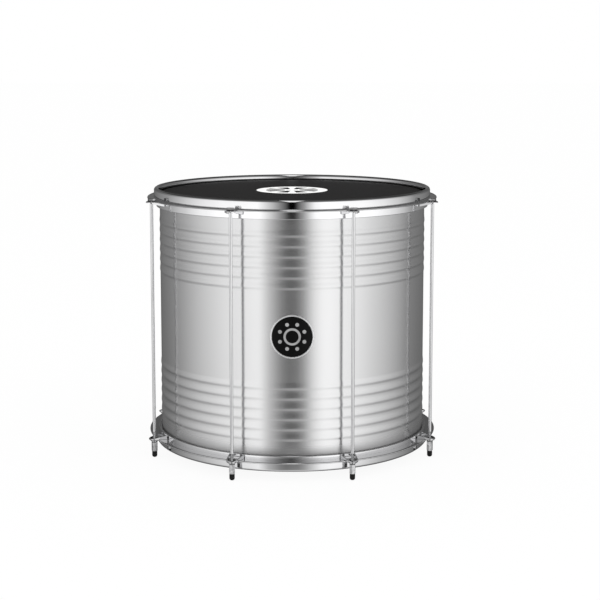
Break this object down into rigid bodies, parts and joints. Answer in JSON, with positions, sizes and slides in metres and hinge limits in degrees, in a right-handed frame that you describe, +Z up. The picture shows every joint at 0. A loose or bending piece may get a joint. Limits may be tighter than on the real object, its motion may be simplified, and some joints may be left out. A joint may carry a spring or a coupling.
{
  "type": "surdo bass drum",
  "caption": "Cylindrical bass drum with a ridged metal shell, black heads, flanged counter hoops, long tension rods and tuning nuts that end in rubber feet.",
  "frame": {"origin": "on the floor, under the middle of the drum: the level of the rubber feet's flat ends", "axes": "+Z up along the drum's axis, towards the batter head; the badge faces -Y and +X is on its right"},
  "size_m": [0.5546, 0.5546, 0.5048],
  "materials": {
    "shell_aluminium": "rolled and polished sheet, satin to near mirror",
    "flesh_hoop_aluminium": "bright drawn section",
    "hoop_chrome": "polished chrome plate",
    "rod_steel": "bright plated steel",
    "nut_chrome": "chrome plate with light wear from the key",
    "black_film": "black leather-grained film with a soft sheen",
    "foot_rubber": "smooth black rubber",
    "badge_black": "black lacquer",
    "badge_silver": "silver pressed rim"
  },
  "bodies": {
    "drum": {"shell": "shell_aluminium", "batter_film": "black_film", "resonant_film": "black_film", "batter_flesh_hoop": "flesh_hoop_aluminium", "resonant_flesh_hoop": "flesh_hoop_aluminium", "top_hoop": "hoop_chrome", "bottom_hoop": "hoop_chrome", "badge_plate": "badge_black", "badge_rim": "badge_silver", "top_ear_1": "hoop_chrome", "top_ear_2": "hoop_chrome", "top_ear_3": "hoop_chrome", "top_ear_4": "hoop_chrome", "top_ear_5": "hoop_chrome", "top_ear_6": "hoop_chrome", "top_ear_7": "hoop_chrome", "top_ear_8": "hoop_chrome", "bottom_ear_1": "hoop_chrome", "bottom_ear_2": "hoop_chrome", "bottom_ear_3": "hoop_chrome", "bottom_ear_4": "hoop_chrome", "bottom_ear_5": "hoop_chrome", "bottom_ear_6": "hoop_chrome", "bottom_ear_7": "hoop_chrome", "bottom_ear_8": "hoop_chrome", "tension_rod_1": "rod_steel", "tension_rod_2": "rod_steel", "tension_rod_3": "rod_steel", "tension_rod_4": "rod_steel", "tension_rod_5": "rod_steel", "tension_rod_6": "rod_steel", "tension_rod_7": "rod_steel", "tension_rod_8": "rod_steel", "washer_1": "rod_steel", "washer_2": "rod_steel", "washer_3": "rod_steel", "washer_4": "rod_steel", "washer_5": "rod_steel", "washer_6": "rod_steel", "washer_7": "rod_steel", "washer_8": "rod_steel"},
    "nut_1": {"tuning_nut_1": "nut_chrome", "rubber_foot_1": "foot_rubber"},
    "nut_2": {"tuning_nut_2": "nut_chrome", "rubber_foot_2": "foot_rubber"},
    "nut_3": {"tuning_nut_3": "nut_chrome", "rubber_foot_3": "foot_rubber"},
    "nut_4": {"tuning_nut_4": "nut_chrome", "rubber_foot_4": "foot_rubber"},
    "nut_5": {"tuning_nut_5": "nut_chrome", "rubber_foot_5": "foot_rubber"},
    "nut_6": {"tuning_nut_6": "nut_chrome", "rubber_foot_6": "foot_rubber"},
    "nut_7": {"tuning_nut_7": "nut_chrome", "rubber_foot_7": "foot_rubber"},
    "nut_8": {"tuning_nut_8": "nut_chrome", "rubber_foot_8": "foot_rubber"}
  },
  "joints": [
    {"name": "nut_1_turn", "type": "hinge", "parent": "drum", "child": "nut_1", "pos_m": [0.10792, -0.26053, 0.0216], "axis": [0, 0, 1], "continuous": true},
    {"name": "nut_2_turn", "type": "hinge", "parent": "drum", "child": "nut_2", "pos_m": [0.26053, -0.10792, 0.0216], "axis": [0, 0, 1], "continuous": true},
    {"name": "nut_3_turn", "type": "hinge", "parent": "drum", "child": "nut_3", "pos_m": [0.26053, 0.10792, 0.0216], "axis": [0, 0, 1], "continuous": true},
    {"name": "nut_4_turn", "type": "hinge", "parent": "drum", "child": "nut_4", "pos_m": [0.10792, 0.26053, 0.0216], "axis": [0, 0, 1], "continuous": true},
    {"name": "nut_5_turn", "type": "hinge", "parent": "drum", "child": "nut_5", "pos_m": [-0.10792, 0.26053, 0.0216], "axis": [0, 0, 1], "continuous": true},
    {"name": "nut_6_turn", "type": "hinge", "parent": "drum", "child": "nut_6", "pos_m": [-0.26053, 0.10792, 0.0216], "axis": [0, 0, 1], "continuous": true},
    {"name": "nut_7_turn", "type": "hinge", "parent": "drum", "child": "nut_7", "pos_m": [-0.26053, -0.10792, 0.0216], "axis": [0, 0, 1], "continuous": true},
    {"name": "nut_8_turn", "type": "hinge", "parent": "drum", "child": "nut_8", "pos_m": [-0.10792, -0.26053, 0.0216], "axis": [0, 0, 1], "continuous": true}
  ]
}
